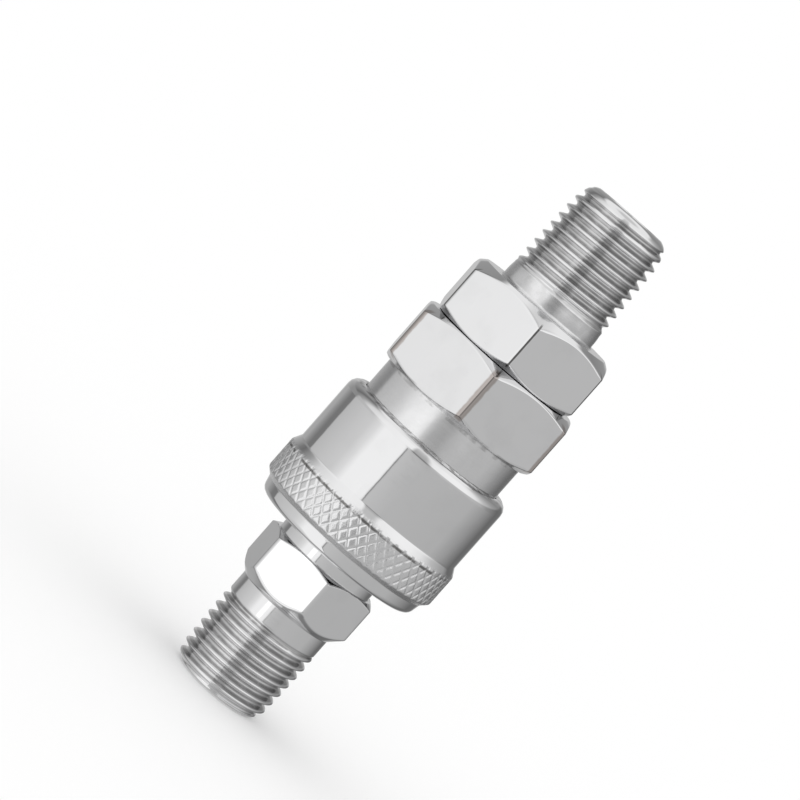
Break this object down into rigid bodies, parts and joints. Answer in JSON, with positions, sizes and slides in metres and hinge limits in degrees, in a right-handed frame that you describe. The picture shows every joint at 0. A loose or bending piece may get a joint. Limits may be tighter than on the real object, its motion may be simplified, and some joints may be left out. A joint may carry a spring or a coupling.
{
  "type": "quick coupling",
  "caption": "Chrome-plated air-line quick coupling with tapered male threads at both ends, hexagons and a knurled locking sleeve that slides back and turns.",
  "frame": {"origin": "centre of the plug's threaded end face, which the part stands on", "axes": "+Z along the coupling's axis from the plug to the adaptor; the adaptor's hexagon has a corner towards -Y"},
  "size_m": [0.0242, 0.0242, 0.0716],
  "materials": {
    "chrome_plug": "bright chrome plate on turned steel",
    "chrome_body": "bright chrome plate on turned steel",
    "chrome_adaptor": "bright chrome plate on turned steel",
    "chrome_sleeve": "bright chrome plate with a knurled band",
    "bearing_steel": "polished hardened balls",
    "spring_steel": "drawn stainless wire",
    "valve_brass": "turned brass",
    "seal_rubber": "black nitrile rubber"
  },
  "bodies": {
    "socket": {"socket_body": "chrome_body", "adaptor": "chrome_adaptor", "adaptor_o_ring": "seal_rubber", "plug_packing": "seal_rubber", "stop_ring": "spring_steel", "valve_spring": "spring_steel"},
    "plug": {"plug": "chrome_plug"},
    "sleeve_spring": {"sleeve_spring": "spring_steel"},
    "sleeve": {"sleeve": "chrome_sleeve"},
    "valve": {"valve": "valve_brass", "valve_packing": "seal_rubber"},
    "ball_1": {"ball_1": "bearing_steel"},
    "ball_2": {"ball_2": "bearing_steel"},
    "ball_3": {"ball_3": "bearing_steel"},
    "ball_4": {"ball_4": "bearing_steel"},
    "ball_5": {"ball_5": "bearing_steel"},
    "ball_6": {"ball_6": "bearing_steel"}
  },
  "joints": [
    {"name": "plug_swivel", "type": "hinge", "parent": "socket", "child": "plug", "pos_m": [0, 0, 0.0284], "axis": [0, 0, 1], "continuous": true},
    {"name": "sleeve_turn", "type": "hinge", "parent": "socket", "child": "sleeve_spring", "pos_m": [0, 0, 0.0297], "axis": [0, 0, 1], "continuous": true},
    {"name": "sleeve_slide", "type": "slide", "parent": "sleeve_spring", "child": "sleeve", "axis": [0, 0, 1], "range_m": [0, 0.0038], "stiffness_N_per_m": 1200, "springref_m": -0.004, "deforming": ["sleeve_spring"]},
    {"name": "valve_slide", "type": "slide", "parent": "socket", "child": "valve", "axis": [0, 0, 1], "range_m": [0, 0.0012], "stiffness_N_per_m": 800, "springref_m": -0.003, "deforming": ["valve_spring"]},
    {"name": "ball_1_slide", "type": "slide", "parent": "socket", "child": "ball_1", "axis": [1, 0, 0], "range_m": [0, 0.0011]},
    {"name": "ball_2_slide", "type": "slide", "parent": "socket", "child": "ball_2", "axis": [0.5, 0.866, 0], "range_m": [0, 0.0011]},
    {"name": "ball_3_slide", "type": "slide", "parent": "socket", "child": "ball_3", "axis": [-0.5, 0.866, 0], "range_m": [0, 0.0011]},
    {"name": "ball_4_slide", "type": "slide", "parent": "socket", "child": "ball_4", "axis": [-1, 0, 0], "range_m": [0, 0.0011]},
    {"name": "ball_5_slide", "type": "slide", "parent": "socket", "child": "ball_5", "axis": [-0.5, -0.866, 0], "range_m": [0, 0.0011]},
    {"name": "ball_6_slide", "type": "slide", "parent": "socket", "child": "ball_6", "axis": [0.5, -0.866, 0], "range_m": [0, 0.0011]}
  ],
  "couplings": [
    {"joint": "ball_1_slide", "follows": "sleeve_slide", "ratio": 0.2868},
    {"joint": "ball_2_slide", "follows": "sleeve_slide", "ratio": 0.2868},
    {"joint": "ball_3_slide", "follows": "sleeve_slide", "ratio": 0.2868},
    {"joint": "ball_4_slide", "follows": "sleeve_slide", "ratio": 0.2868},
    {"joint": "ball_5_slide", "follows": "sleeve_slide", "ratio": 0.2868},
    {"joint": "ball_6_slide", "follows": "sleeve_slide", "ratio": 0.2868}
  ]
}
